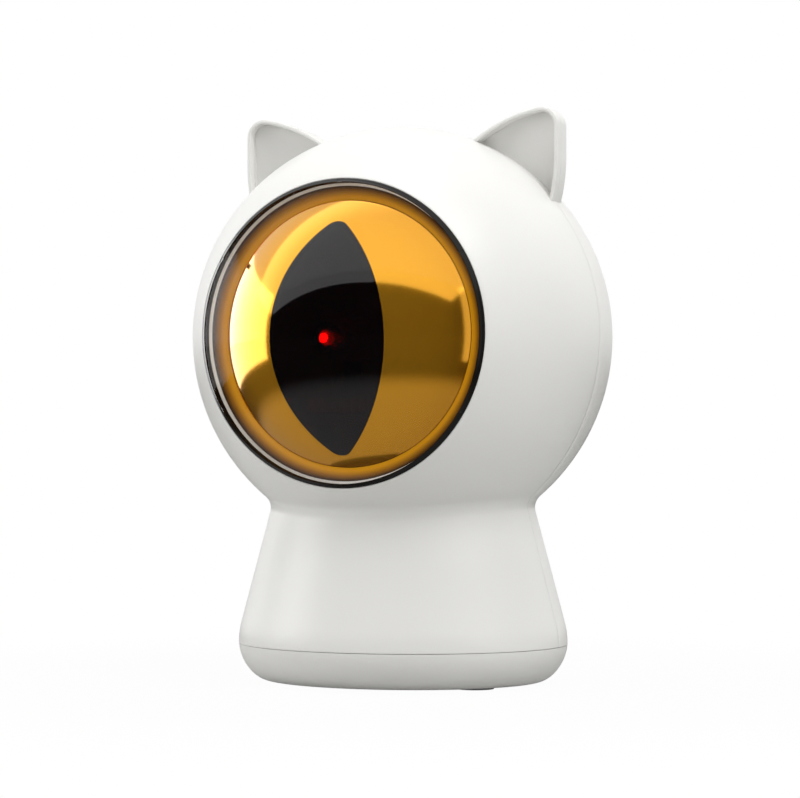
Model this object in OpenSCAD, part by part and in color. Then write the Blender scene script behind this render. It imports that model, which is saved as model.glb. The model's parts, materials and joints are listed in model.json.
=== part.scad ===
// Automatic cat laser toy: a ball head with one cat's eye on an oval foot.
// Behind the pupil a laser on geared pan and tilt axes sweeps its spot about.
// Millimetres, +Z up. The eye looks along -Y and the origin is on the floor.

/* [Housing] */
// Diameter of the ball head
head_d = 83; // [81:0.5:85]
// Height of the head's centre above the floor
head_z = 68.1; // [67.5:0.1:71]
// Thickness of the moulded walls
wall = 2; // [1.6:0.1:2.2]
// Width of the foot at its brim
base_w = 66; // [64:0.5:72]
// Depth of the foot at its brim, front to back
base_d = 59.4; // [58:0.2:62]
// Height of the brim, where the side stands upright
brim_z = 8; // [7.8:0.1:9]
// Radius that rounds the brim
brim_r = 15; // [8:1:18]
// Width of the neck where the flare meets the head
neck_w = 52.2; // [50:0.2:54]
// Radius of the fillet in the neck
neck_fillet = 3; // [2:0.5:4]
// Inset of the rounded bottom edge
bottom_round = 5.6; // [4:0.2:6]
// Height of the seam between the shells and the base cap
seam_z = 7.7; // [7:0.1:8]
// Gap in every seam between mouldings
seam_gap = 0.1; // [0.06:0.02:0.16]

/* [Ears] */
// Width over both ears
ear_span = 67; // [65:0.5:68]
// Height of the ear tips above the floor
ear_top = 112.4; // [111.5:0.1:114]
// Radius that rounds an ear's tip
ear_tip_r = 3.6; // [3:0.2:4.2]
// How far an ear's rim stands in front of the shell seam
ear_front = 2; // [1.5:0.1:2.5]
// How far an ear reaches behind the shell seam
ear_back = 4.5; // [4:0.1:5.5]
// Width of the raised rim round an ear's hollow
ear_rim = 0.8; // [0.7:0.1:1.3]
// Radius of an ear's long curved upper edge
ear_edge_r = 32; // [28:1:40]

/* [Eye] */
// Diameter of the eye ring
eye_d = 58.6; // [57:0.2:60]
// Width of the ring's face
bezel_face = 0.8; // [0.7:0.05:1.1]
// Thickness of the clear dome
lens_t = 1.6; // [1.4:0.1:2]
// Diameter of the iris where it leaves the ring
iris_d = 50.6; // [49:0.2:52]
// Radius of the iris's ball face
iris_r = 33; // [32.5:0.1:33.5]
// Thickness of the iris and the pupil window
iris_t = 1.2; // [1:0.1:1.3]
// Gap between the dome and the iris in the middle of the eye
iris_gap = 1.9; // [1.5:0.1:2.1]
// Width of the slit pupil
pupil_w = 23.5; // [20:0.5:25]
// Height of the slit pupil
pupil_h = 44.2; // [40:0.2:45]
// Radius of the slit's rounded tips
pupil_tip = 3; // [1.5:0.1:4]
// How far the pupil and the laser sit below the eye's axis
pupil_drop = 1; // [0.8:0.1:1.4]

/* [Laser gimbal] */
// Diameter of the laser's brass barrel
laser_d = 6; // [5.6:0.1:6.4]
// Length of the brass barrel
laser_len = 13; // [12:0.5:14]
// Module of the pan gears
pan_module = 0.6; // [0.56:0.01:0.62]
// Teeth on the pan gear
pan_teeth = 54; // [50:2:54]
// Module of the tilt gears
tilt_module = 0.5; // [0.46:0.01:0.52]
// Teeth that the tilt sector would have as a full wheel
tilt_teeth = 36; // [34:2:36]
// Teeth on each motor's pinion
pinion_teeth = 12; // [12:2:14]
// Face width of the gears
gear_w = 2.5; // [2:0.1:2.8]
// Diameter of a motor's can
motor_d = 12; // [11:0.5:12.5]
// Length of a motor's can
motor_len = 10; // [9:0.5:10.5]
// Diameter of a motor's shaft
shaft_d = 1.5; // [1.2:0.1:2]
// Diameter of the pan axle
axle_d = 3; // [2.5:0.1:3.4]
// Diameter of the tilt pins
pin_d = 2.4; // [2:0.1:2.8]
// Thickness of the yoke's floor
yoke_t = 2; // [1.8:0.1:2.2]

/* [Batteries] */
// Diameter of a battery cell
cell_d = 10.5; // [10:0.1:10.6]
// Length of a battery cell over its terminal
cell_len = 44.5; // [43.5:0.1:44.8]
// Turn that frees the battery cap, in degrees
cap_turn = 45; // [40:1:50]

/* [Controls] */
// Diameter of the power button
button_d = 11; // [9:0.5:11.5]
// Height of the button's centre
button_z = 24; // [23.5:0.1:24.5]
// Travel of the button
button_travel = 0.8; // [0.5:0.1:0.9]
// Height of the power socket's centre
usb_z = 13; // [12.8:0.1:13.4]
// Height of the indicator's centre
lamp_z = 34; // [33.6:0.1:34.4]

/* [Fits] */
// Radial clearance of a shaft or pin that turns
run_fit = 0.05; // [0.03:0.01:0.08]
// Clearance round a piece that slides or drops in
slip_fit = 0.15; // [0.1:0.01:0.2]

/* [Hidden] */
$fn = 96;

// Housing form
head_r = head_d / 2;
oval = base_d / base_w;
floor_gap = 0.5;
neck_z = head_z - sqrt(pow(head_r, 2) - pow(neck_w / 2, 2));
// The flare runs from the neck down to the brim's arc and touches it
brim_at = [base_w / 2 - brim_r, brim_z];
brim_to_neck = [neck_w / 2, neck_z] - brim_at;
flare_lean = atan2(brim_to_neck[1], brim_to_neck[0]) - acos(brim_r / norm(brim_to_neck));
bottom_power = 1.75;
// The fillet's centre is neck_fillet off the flare's line and off the ball
fillet_from = [neck_w / 2 + neck_fillet * cos(flare_lean), neck_z - head_z + neck_fillet * sin(flare_lean)];
flare_down = [sin(flare_lean), -cos(flare_lean)];
fillet_dot = fillet_from * flare_down;
fillet_reach = pow(head_r + neck_fillet, 2) - fillet_from * fillet_from;
fillet_slide = sqrt(pow(fillet_dot, 2) + fillet_reach) - fillet_dot;
fillet_at = fillet_from + fillet_slide * flare_down + [0, head_z];
fillet_end = atan2(head_z - fillet_at[1], -fillet_at[0]);
// Base cap and its lip
floor_t = 2;
floor_top = floor_gap + floor_t;
lip_h = 2;
lip_t = 1.2;
lip_top = seam_z + lip_h;
// Posts, screws and feet, one above the other
post_r = 3.2;
post_gap = 1.1;
post_angle = 25;
post_low = lip_top + 0.3;
post_top = 20;
foot_r = 4;
foot_sunk = 0.8;
foot_top = floor_gap + foot_sunk;
base_screw_r = 1;
base_screw_len = 14;

// Batteries, their holder and the bayonet cap
cells = 3;
cell_gap = 0.4;
cell_ring = (cell_d + cell_gap) / 2 / sin(180 / cells);
cell_nub = 0.8;
tube_wall = 1.6;
tube_r = cell_ring + cell_d / 2 + slip_fit + tube_wall;
lug_reach = 1.7;
lug_r = tube_r + lug_reach;
lug_t = 1;
lug_angle = 30;
cap_r = lug_r + 0.7;
cap_t = 0.9;
cap_recess = cap_t + 0.1;
ledge_gap = 0.2;
lug_low = floor_top + ledge_gap;
lug_top = lug_low + lug_t;
socket_r = lug_r + 0.3;
socket_wall = 1.4;
socket_top = 8;
post_ring = socket_r + socket_wall + post_gap + post_r;
flange_t = 1.5;
contact_t = 0.3;
contact_bump = 0.55;
cell_z = lug_top + contact_t + contact_bump + 0.05;
holder_low = lug_top + contact_t + contact_bump + 0.15;
contact_z = cell_z + cell_len;
roof_t = 1.5;
holder_top = contact_z + contact_t + roof_t;

// The laser turns about the middle of the iris's ball, or just below it
iris_forward = head_r - lens_t - iris_gap - iris_r;
gimbal_y = -iris_forward;
gimbal_z = head_z - pupil_drop;
// Gimbal levels, from the deck up
deck_z = holder_top;
deck_t = 2;
deck_top = deck_z + deck_t;
deck_r = tube_r + 2.7;
deck_screw_len = 6.5;
washer_t = 0.4;
pan_gear_z = deck_top + washer_t + 0.1;
yoke_z = pan_gear_z + gear_w;
yoke_top = yoke_z + yoke_t;
clip_t = 0.6;
axle_top = yoke_top + 0.15 + clip_t + 0.8;
// Gear sizes
pan_r = pan_module * pan_teeth / 2;
pan_distance = pan_module * (pan_teeth + pinion_teeth) / 2;
tilt_r = tilt_module * tilt_teeth / 2;
tilt_distance = tilt_module * (tilt_teeth + pinion_teeth) / 2;
addendum = 0.8;
dedendum = 1.1;
backlash = 0.12;
pressure_angle = 20;
// Tilt side: the pieces stand off the laser's axis in this order
tube_outer = laser_d / 2 + 1.2;
sector_x = tube_outer + 0.8;
arm_x = sector_x + gear_w + 1;
arm_t = 2.5;
arm_r = 4;
plate_r = 6.5;
sector_half = 28;
hub_r = 4;
boss_r = pin_d / 2 + 1.2;
// Laser
laser_reach = iris_r - iris_t - pupil_drop - 0.3;
barrel_back = laser_reach - laser_len;
cradle_front = laser_reach - 5;
cradle_back = 6;
// Motors
nose_r = 2;
nose_h = deck_t - 0.1;
shaft_in = 5;
flat_share = 0.84;
small_screw_r = 0.6;
small_head_r = 1.1;
small_head_t = 0.7;
motor_screw_at = 4.3;

// Eye stack, as depths in front of the head's centre
eye_r = eye_d / 2;
lens_edge = eye_r - bezel_face;
lens_r = lens_edge - 0.1;
lens_seat = sqrt(pow(head_r - lens_t, 2) - pow(lens_r, 2)) - 0.03;
iris_edge = iris_forward + sqrt(pow(iris_r, 2) - pow(iris_d / 2, 2));
iris_step = iris_edge - 1.2;
iris_flange_r = lens_edge - 0.9;
iris_flange_t = 1.2;
bezel_flange = iris_step - 2.5;
bezel_back = bezel_flange - 1.6;
bezel_flange_r = eye_r + 1.7;
retainer_t = 2.6;
retainer_r = iris_d / 2 - 1.2;
tab_at = eye_r + 2;
tab_r = 1.7;
notch_w = 1.1;
notch_deep = 0.35;

// Board and controls at the back
board_y = tube_r + 2.7;
board_t = 1.6;
board_back = board_y + board_t;
board_w = 22;
board_low = lip_top + 0.4;
board_high = lamp_z + 2.6;
board_post_x = board_w / 2 - 2.2;
board_post_z = [usb_z + 4, lamp_z - 1];
board_post_r = 2;
board_screw_r = 0.9;
switch_w = 6;
switch_t = 3;
plunger_r = 1.7;
flange_y = board_back + switch_t + 1;
button_flange_t = 0.8;
button_flange = 1;
button_proud = 0.6;
usb_w = 8.9;
usb_h = 3.3;
usb_wall = 0.3;
usb_back = 1.2;
usb_out = back_y(usb_z) - 0.5;
usb_deep = usb_out - board_back - usb_back;
lamp_r = 1.1;
led_t = 0.8;

// Half width of the foot's flare at height z, between the brim and the neck
function side_x(z) = brim_at[0] + (brim_r - (z - brim_z) * sin(flare_lean)) / cos(flare_lean);
// Outer surface of the foot's back at height z
function back_y(z) = oval * side_x(z);
// Points of an arc about c, from angle a to angle b
function arc(c, r, a, b, n) = [for (i = [0:n]) c + r * [cos(a + (b - a) * i / n), sin(a + (b - a) * i / n)]];
// Rounded bottom edge: a superellipse from the underside out towards the brim, as far as height top
function bottom_edge(n, top) =
    let (rise = (top - floor_gap) / (brim_z - floor_gap),
        end = asin(pow(1 - pow(1 - rise, bottom_power), 1 / bottom_power)))
    [for (i = [0:n])
        let (u = sin(end * i / n), v = 1 - pow(1 - pow(u, bottom_power), 1 / bottom_power))
        [base_w / 2 - bottom_round * (1 - u), floor_gap + (brim_z - floor_gap) * v]];
// Side of the foot: bottom edge, brim, flare, and the fillet up to the ball
function foot_side() = concat(
    bottom_edge(8, brim_z),
    arc(brim_at, brim_r, flare_lean / 4, flare_lean, 3),
    arc(fillet_at, neck_fillet, 180 + flare_lean, fillet_end, 5));
// Half angle of an involute tooth at radius r, for a wheel of n teeth and module m
function inv(a) = tan(a) * 180 / PI - a;
function tooth_half(r, n, m) =
    let (pitch_r = m * n / 2, base_r = pitch_r * cos(pressure_angle))
    90 / n - backlash / pitch_r * 45 / PI + inv(pressure_angle) - (r > base_r ? inv(acos(base_r / r)) : 0);

// ---------- shared forms ----------

// Ball head and oval foot as one form, drawn in by inset on every side
module body_form(inset) {
    translate([0, 0, head_z]) sphere(r = head_r - inset);
    foot_form(inset);
}

// Oval foot up to the ball, drawn in by inset on every side
module foot_form(inset) {
    side = [for (p = foot_side()) [p[0] - inset, p[1]]];
    scale([1, (base_d / 2 - inset) / (base_w / 2 - inset), 1])
        rotate_extrude()
            polygon(concat([[0, floor_gap]], side, [[0, side[len(side) - 1][1]]]));
}

// Oval disc of the foot's plan, drawn in by inset, from z = low to z = high
module oval_disc(inset, low, high) translate([0, 0, low]) linear_extrude(high - low)
    scale([1, (base_d / 2 - inset) / (base_w / 2 - inset)]) circle(r = base_w / 2 - inset);

// Half space on one side of the shell seam and above a height
module side_of_seam(side, low) {
    reach = head_d * 2;
    translate([-reach / 2, side > 0 ? seam_gap / 2 : -reach - seam_gap / 2, low])
        cube([reach, reach, reach]);
}

// Places a piece on the eye's axis, its +Z looking out of the eye
module on_eye() translate([0, 0, head_z]) rotate([90, 0, 0]) children();

// Places a piece on the post positions of one side or of both, its +X pointing at the foot's wall
module at_posts(sides) for (m = [0, 1], side = sides) mirror([m, 0, 0])
    translate([post_ring * cos(post_angle), side * post_ring * sin(post_angle), 0]) children();

// Places a piece with its +Z along +Y, at x and height z
module facing_back(x, y, z) translate([x, y, z]) rotate([-90, 0, 0]) children();

// Places a piece with its +Z along +X and its +X along +Y, on the tilt axis
module along_x(x, y, z) translate([x, y, z]) rotate([90, 0, 90]) children();

// Round rod from z = a to z = b
module rod(r, a, b) translate([0, 0, a]) cylinder(r = r, h = b - a);

// Ring from z = a to z = b
module ring(r_out, r_in, a, b) difference() {
    rod(r_out, a, b);
    rod(r_in, a - 1, b + 1);
}

// Outline of a spur gear, one tooth centred on +X
module gear_outline(n, m) {
    root_r = m * (n / 2 - dedendum);
    tip_r = m * (n / 2 + addendum);
    pitch_r = m * n / 2;
    radii = [root_r, (root_r + pitch_r) / 2, pitch_r, tip_r];
    polygon([for (i = [0:n - 1], k = [0:7])
        let (r = radii[k < 4 ? k : 7 - k], a = 360 * i / n + (k < 4 ? -1 : 1) * tooth_half(r, n, m))
        r * [cos(a), sin(a)]]);
}

// Slit pupil: two long arcs that run into rounded tips, below the eye's axis
module pupil_outline(grow) {
    w = pupil_w / 2 + grow;
    tip = pupil_tip + grow;
    tip_at = pupil_h / 2 - pupil_tip;
    // The long arcs' radius, for which they touch the tips' circles
    r = (tip_at * tip_at + w * w - tip * tip) / (2 * (w - tip));
    half = atan2(tip_at, r - w);
    translate([0, -pupil_drop]) polygon(concat(
        arc([w - r, 0], r, -half, half, 12), arc([0, tip_at], tip, half + 12, 168 - half, 4),
        arc([r - w, 0], r, 180 - half, 180 + half, 12), arc([0, -tip_at], tip, 192 + half, 348 - half, 4)));
}

// Ear outline seen from the front, for the ear on +X, drawn in by inset: upper edge, tip, outer side, root
module ear_outline(inset) {
    tip = [ear_span / 2 - ear_tip_r, ear_top - ear_tip_r];
    turn = 100;
    edge_at = tip - (ear_edge_r - ear_tip_r) * [cos(turn), sin(turn)];
    side_r = ear_edge_r * 1.1;
    side_at = [ear_span / 2 - side_r, tip[1] - ear_tip_r * 1.6];
    polygon(concat(arc(side_at, side_r - inset, -18, 0, 4), arc(tip, ear_tip_r - inset, 0, turn, 8),
        arc(edge_at, ear_edge_r - inset, turn + 3, turn + 28, 7),
        [head_r * [0.38, 0.62] + [inset, head_z], head_r * [0.7, 0.5] + [0, head_z]]));
}

// Ear on +X: extruded outline with a hollowed front and a tapered back
module ear() {
    middle = [head_r * 0.53, head_z + head_r * 0.67];
    dish_r = 60;
    dish_deep = 2.2;
    difference() {
        union() {
            translate([0, ear_back - 2, 0]) rotate([90, 0, 0])
                linear_extrude(ear_front + ear_back - 2) ear_outline(0);
            hull() for (k = [0, 1])
                translate([0, ear_back - 2 + k * 2, 0]) rotate([90, 0, 0])
                    linear_extrude(0.02) ear_outline(k * 1.6);
        }
        intersection() {
            translate([0, ear_back, 0]) rotate([90, 0, 0])
                linear_extrude(ear_front + ear_back + 1) ear_outline(ear_rim);
            translate([middle[0], dish_deep - dish_r, middle[1]]) sphere(r = dish_r);
        }
    }
}

module ears() for (s = [0, 1]) mirror([s, 0, 0]) ear();

// Posts with webs that tie them to the foot's wall, on one side of the seam
module shell_posts(side) intersection() {
    body_form(wall / 2);
    at_posts([side]) difference() {
        union() {
            rod(post_r, post_low, post_top);
            translate([0, -wall / 2, post_low]) cube([base_w / 2, wall, post_top - post_low]);
        }
        rod(base_screw_r, post_low - 1, post_top - 2);
    }
}

// ---------- housing ----------

module front_shell() color("white") difference() {
    union() {
        intersection() {
            difference() {
                union() {
                    body_form(0);
                    ears();
                }
                body_form(wall);
            }
            side_of_seam(-1, seam_z);
        }
        intersection() {
            on_eye() {
                rod(eye_r + 2, iris_step - 2.4, head_r);
                at_tabs() rod(tab_r, iris_step - 2.4, head_r);
            }
            translate([0, 0, head_z]) sphere(r = head_r - wall / 2);
        }
        shell_posts(-1);
    }
    on_eye() {
        rod(eye_r + slip_fit, 1, head_r + 1);
        at_tabs() rod(small_screw_r, 1, iris_step + 1.2);
    }
}

module back_shell() color("white") difference() {
    union() {
        intersection() {
            difference() {
                union() {
                    body_form(0);
                    ears();
                }
                body_form(wall);
            }
            side_of_seam(1, seam_z);
        }
        shell_posts(1);
        intersection() {
            body_form(wall / 2);
            at_board_posts() rod(board_post_r, 0, base_d);
        }
    }
    facing_back(0, board_back, button_z) rod(button_d / 2 + slip_fit, 0.5, base_d);
    facing_back(0, board_back, lamp_z) rod(lamp_r + run_fit, 0.5, base_d);
    usb_block(slip_fit, board_back + 1, base_d);
    at_board_posts() rod(board_screw_r, -1, 4);
}

// Bottom tray: rounded edge, lip inside the shells, bayonet socket and screw bosses
module base_cap() color("white") difference() {
    union() {
        difference() {
            union() {
                hull() for (p = bottom_edge(7, seam_z - seam_gap - 0.01)) translate([0, 0, p[1]])
                    linear_extrude(0.01)
                        scale([1, (base_d / 2 - base_w / 2 + p[0]) / p[0]]) circle(r = p[0], $fn = 72);
                oval_disc(wall + slip_fit, seam_z - 1, lip_top);
            }
            oval_disc(wall + slip_fit + lip_t, floor_top + 2, lip_top + 1);
            oval_disc(wall + slip_fit + lip_t + 1, floor_top, lip_top);
        }
        rod(socket_r + socket_wall, floor_top - 0.5, socket_top);
        at_posts([-1, 1]) rod(post_r, floor_top - 0.5, lip_top + 0.2);
    }
    rod(socket_r, floor_top, socket_top + 1);
    rod(tube_r + slip_fit, floor_gap - 1, socket_top);
    rod(cap_r + slip_fit, floor_gap - 1, floor_gap + cap_recess);
    rotate([0, 0, cap_turn]) at_lugs() lug(lug_r + slip_fit, floor_gap, floor_top + 1, lug_angle + 4);
    at_posts([-1, 1]) {
        rod(foot_r + slip_fit, floor_gap - 1, foot_top);
        rod(base_screw_r + 1.4, floor_gap, foot_top + 2);
        rod(base_screw_r + slip_fit, floor_gap, lip_top + 1);
    }
}

module rubber_feet() color("dimgray") at_posts([-1, 1]) {
    rod(foot_r, 0.3, foot_top);
    rod(foot_r - 0.3, 0, 0.31);
}

module base_screws() color("silver") at_posts([-1, 1])
    screw(base_screw_r, base_screw_r + 1.2, 1.6, base_screw_len, foot_top + 0.4);

// Pan-head screw that points up, its head's outer face at z = at
module screw(r, head, head_t, long, at) difference() {
    union() {
        rod(head, at, at + head_t);
        rod(r, at, at + head_t + long);
    }
    for (a = [0, 90]) rotate([0, 0, a])
        translate([-head * 0.6, -head * 0.14, at - 1]) cube([head * 1.2, head * 0.28, 1 + head_t * 0.5]);
}

// ---------- eye ----------

module at_tabs() for (a = [0:120:240]) rotate([0, 0, a + 30]) translate([tab_at, 0, 0]) children();

// Ring that frames the eye: face on the ball's surface, cone to the iris, flange behind the shell
module eye_bezel() color([0.1, 0.09, 0.07]) on_eye() difference() {
    union() {
        intersection() {
            rod(eye_r, bezel_back, head_r);
            sphere(r = head_r);
        }
        intersection() {
            union() {
                rod(bezel_flange_r, bezel_back, bezel_flange);
                at_tabs() rod(tab_r, bezel_back, bezel_flange);
            }
            sphere(r = head_r - wall - seam_gap);
        }
    }
    rod(lens_edge, lens_seat, head_r + 1);
    rotate_extrude() polygon([
        [0, bezel_back - 1], [iris_flange_r + slip_fit, bezel_back - 1],
        [iris_flange_r + slip_fit, iris_step], [iris_d / 2 + slip_fit, iris_step],
        [iris_d / 2 + slip_fit, iris_edge + 0.05], [lens_edge, lens_seat], [lens_edge, head_r], [0, head_r]
    ]);
    at_tabs() rod(small_screw_r + slip_fit, bezel_back - 1, bezel_flange + 1);
    for (a = [0:60:300]) rotate([0, 0, a])
        translate([-notch_w / 2, eye_r - bezel_face * 0.7, sqrt(pow(head_r, 2) - pow(eye_r, 2)) - notch_deep])
            cube([notch_w, bezel_face * 2, 3]);
}

module bezel_screws() color("silver") on_eye() at_tabs()
    screw(small_screw_r, small_head_r + 0.2, small_head_t, 3.6, bezel_back - small_head_t);

module dome_lens() color([0.9, 0.9, 0.9, 0.3]) on_eye() difference() {
    intersection() {
        sphere(r = head_r);
        rod(lens_r, 1, head_r + 1);
    }
    sphere(r = head_r - lens_t);
    rod(lens_r + 1, 0, lens_seat + 0.03);
}

// Ball-faced iris with its clamped flange and the slit for the pupil window
module iris_shell() color([0.93, 0.62, 0.12]) on_eye() difference() {
    union() {
        intersection() {
            translate([0, 0, iris_forward]) sphere(r = iris_r);
            rod(iris_d / 2, iris_step - iris_flange_t, head_r);
        }
        rod(iris_flange_r, iris_step - iris_flange_t, iris_step);
    }
    translate([0, 0, iris_forward]) sphere(r = iris_r - iris_t);
    translate([0, 0, iris_forward]) linear_extrude(iris_r + 1) pupil_outline(0.05);
}

module pupil_window() color([0.05, 0.05, 0.05]) on_eye() intersection() {
    difference() {
        translate([0, 0, iris_forward]) sphere(r = iris_r);
        translate([0, 0, iris_forward]) sphere(r = iris_r - iris_t);
    }
    translate([0, 0, iris_forward]) linear_extrude(iris_r + 1) pupil_outline(0);
}

module iris_retainer() color("dimgray") on_eye()
    ring(iris_flange_r, retainer_r, iris_step - iris_flange_t - retainer_t, iris_step - iris_flange_t);

// ---------- batteries ----------

module at_lugs() for (i = [0:2]) rotate([0, 0, 120 * i]) children();

// Sector of a disc, used for the bayonet lugs and for the slots that let them in
module lug(r, a, b, angle) intersection() {
    rod(r, a, b);
    translate([0, 0, a]) linear_extrude(b - a)
        polygon([[0, 0], 2 * r * [cos(angle / 2), -sin(angle / 2)], 2 * r * [1, 0],
            2 * r * [cos(angle / 2), sin(angle / 2)]]);
}

module battery_cap() color("white") difference() {
    union() {
        rod(cap_r, floor_gap, floor_gap + cap_t);
        rod(tube_r - slip_fit / 2, floor_gap, lug_top);
        at_lugs() lug(lug_r, lug_low, lug_top, lug_angle);
    }
    translate([-8, -0.9, floor_gap - 1]) cube([16, 1.8, 1.7]);
}

module at_cells() for (i = [0:cells - 1]) rotate([0, 0, 90 + 360 / cells * i])
    translate([cell_ring, 0, 0]) children();

// Plate on the cap that joins the cells, with a bump under each
module cap_contacts() color("silver") {
    rod(cell_ring + 3, lug_top, lug_top + contact_t);
    at_cells() rod(2, lug_top, lug_top + contact_t + contact_bump);
}

module battery_holder() color("gainsboro") difference() {
    union() {
        rod(tube_r, holder_low, holder_top);
        rod(socket_r - slip_fit / 2, holder_low + 0.6, socket_top + 0.5);
        rod(socket_r + socket_wall, socket_top, socket_top + flange_t);
    }
    at_cells() rod(cell_d / 2 + slip_fit, holder_low - 1, contact_z + contact_t);
    rod(2, holder_low - 1, contact_z - 4);
    translate([0, gimbal_y, 0]) rod(axle_d / 2, holder_top - 1, holder_top + 1);
    at_deck_screws() rod(base_screw_r, holder_top - deck_screw_len - 1, holder_top + 1);
}

module battery_cells() color("steelblue") at_cells() {
    rod(cell_d / 2, cell_z, cell_z + cell_len - cell_nub);
    rod(2, cell_z, cell_z + cell_len);
}

module top_contacts() color("silver") at_cells() rod(cell_d / 2 - 0.5, contact_z, contact_z + contact_t);

// ---------- board and controls ----------

module at_board_posts() for (sx = [-1, 1], z = board_post_z)
    facing_back(sx * board_post_x, board_back, z) children();

module main_board() color("darkgreen") difference() {
    translate([-board_w / 2, board_y, board_low]) cube([board_w, board_t, board_high - board_low]);
    at_board_posts() rod(board_screw_r + slip_fit, -board_t - 1, 1);
}

module board_chips() color([0.12, 0.12, 0.13]) translate([0, board_y, 0]) {
    translate([-3, -1.2, button_z - 3]) cube([6, 1.2, 6]);
    translate([-5, -1, usb_z + 0.6]) cube([3, 1, 3]);
    translate([2, -0.8, lamp_z - 4]) cube([3.2, 0.8, 2.4]);
}

module board_screws() color("silver") at_board_posts()
    screw(board_screw_r, board_screw_r + 0.8, 1, board_t + 3.4, -board_t - 1);

// Stadium-shaped bar along +Y at the power socket's place, grown by grow
module usb_block(grow, a, b) {
    r = usb_h / 2 + grow;
    half = usb_w / 2 - usb_h / 2;
    for (s = [-1, 1]) facing_back(s * half, 0, usb_z) rod(r, a, b);
    translate([-half, a, usb_z - r]) cube([2 * half, b - a, 2 * r]);
}

module usb_shell() color("silver") difference() {
    usb_block(0, board_back, usb_out);
    usb_block(-usb_wall, usb_out - usb_deep, usb_out + 1);
}

module usb_tongue() color([0.1, 0.1, 0.1]) translate([-3.3, usb_out - usb_deep, usb_z - 0.35])
    cube([6.6, usb_deep - 0.8, 0.7]);

module switch_body() color([0.2, 0.2, 0.2]) difference() {
    translate([-switch_w / 2, board_back, button_z - switch_w / 2]) cube([switch_w, switch_t, switch_w]);
    facing_back(0, board_back, button_z) rod(plunger_r + run_fit, 1, switch_t + 1);
}

module switch_plunger() color("gray") facing_back(0, board_back, button_z)
    rod(plunger_r, 1 + button_travel + 0.1, flange_y - board_back);

module power_button() color("whitesmoke") facing_back(0, flange_y, button_z) {
    rod(button_d / 2 + button_flange, 0, button_flange_t);
    intersection() {
        rod(button_d / 2, 0, base_d);
        facing_front_of_back() body_form(-button_proud);
    }
}

// Undoes facing_back at the button, so that a form can cut the button in place
module facing_front_of_back() rotate([90, 0, 0]) translate([0, -flange_y, -button_z]) children();

module status_led() color("lightyellow") translate([-0.8, board_back, lamp_z - 0.5]) cube([1.6, led_t, 1]);

module light_pipe() color([0.95, 0.95, 0.95, 0.6]) intersection() {
    facing_back(0, board_back + led_t + 0.1, lamp_z) {
        rod(lamp_r, 0, base_d);
        rod(lamp_r + 0.5, 0, 1.5);
    }
    body_form(0);
}

// ---------- mechanism deck and pan drive ----------

module at_pan_axis() translate([0, gimbal_y, 0]) children();

module at_pan_motor() translate([-pan_distance, gimbal_y, 0]) children();

module at_deck_screws() for (i = [0:cells - 1]) rotate([0, 0, 90 + 360 / cells * (i + 0.5)])
    translate([tube_r - 2.5, 0, 0]) children();

module at_motor_screws() for (s = [-1, 1]) translate([0, s * motor_screw_at, 0]) children();

module mechanism_deck() color("gainsboro") difference() {
    union() {
        rod(deck_r, deck_z, deck_top);
        at_pan_motor() rod(motor_d / 2 + 1.5, deck_z, deck_top);
        translate([-pan_distance, gimbal_y - motor_d / 2, deck_z]) cube([pan_distance, motor_d, deck_t]);
    }
    at_pan_axis() rod(axle_d / 2, deck_z - 1, deck_top + 1);
    at_deck_screws() {
        rod(base_screw_r + slip_fit, deck_z - 1, deck_top + 1);
        rod(base_screw_r + 1, deck_top - 1.1, deck_top + 1);
    }
    at_pan_motor() {
        rod(nose_r + slip_fit, deck_z - 1, deck_top + 1);
        at_motor_screws() {
            rod(small_screw_r + slip_fit, deck_z - 1, deck_top + 1);
            rod(small_head_r + slip_fit, deck_top - small_head_t - 0.1, deck_top + 1);
        }
    }
}

module deck_screws() color("silver") at_deck_screws()
    turned_over(deck_top - 0.1) screw(base_screw_r, base_screw_r + 0.9, 1, deck_screw_len, 0);

// Turns a piece that points up so that it points down from height z
module turned_over(z) translate([0, 0, z]) rotate([180, 0, 0]) children();

module pan_axle() color("silver") at_pan_axis() difference() {
    rod(axle_d / 2, holder_top - 0.9, axle_top);
    ring(axle_d, axle_d / 2 - 0.4, yoke_top + 0.15, yoke_top + 0.15 + clip_t);
}

module thrust_washer() color("ivory") at_pan_axis()
    ring(axle_d / 2 + 2, axle_d / 2 + run_fit, deck_top, deck_top + washer_t);

module axle_clip() color("dimgray") at_pan_axis() difference() {
    ring(axle_d / 2 + 1.3, axle_d / 2 - 0.4, yoke_top + 0.2, yoke_top + 0.1 + clip_t);
    translate([0, -0.9, yoke_top]) cube([axle_d, 1.8, 2]);
}

// Small motor: a can with two flats and a nose, bored for its shaft, its face at z = 0
module motor_body() difference() {
    union() {
        intersection() {
            rod(motor_d / 2, -motor_len, 0);
            translate([-motor_d * flat_share / 2, -motor_d, -motor_len])
                cube([motor_d * flat_share, 2 * motor_d, motor_len]);
        }
        rod(nose_r, -1, nose_h);
        rod(nose_r * 0.9, -motor_len - 0.7, -1);
    }
    rod(shaft_d / 2 + run_fit, -shaft_in - 0.1, nose_h + 1);
    at_motor_screws() rod(small_screw_r, -2.5, 1);
}

module pan_motor() color("silver") at_pan_motor() translate([0, 0, deck_z]) motor_body();

module pan_motor_screws() color("silver") at_pan_motor() at_motor_screws()
    turned_over(deck_top - 0.1) screw(small_screw_r, small_head_r, small_head_t - 0.1, 3.2, 0);

module pan_shaft() color("lightgray") at_pan_motor()
    rod(shaft_d / 2, deck_z - shaft_in, pan_gear_z + gear_w + 0.3);

module pinion(m, wide) difference() {
    linear_extrude(wide) rotate([0, 0, 180 / pinion_teeth]) gear_outline(pinion_teeth, m);
    rod(shaft_d / 2, -1, wide + 1);
}

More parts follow.
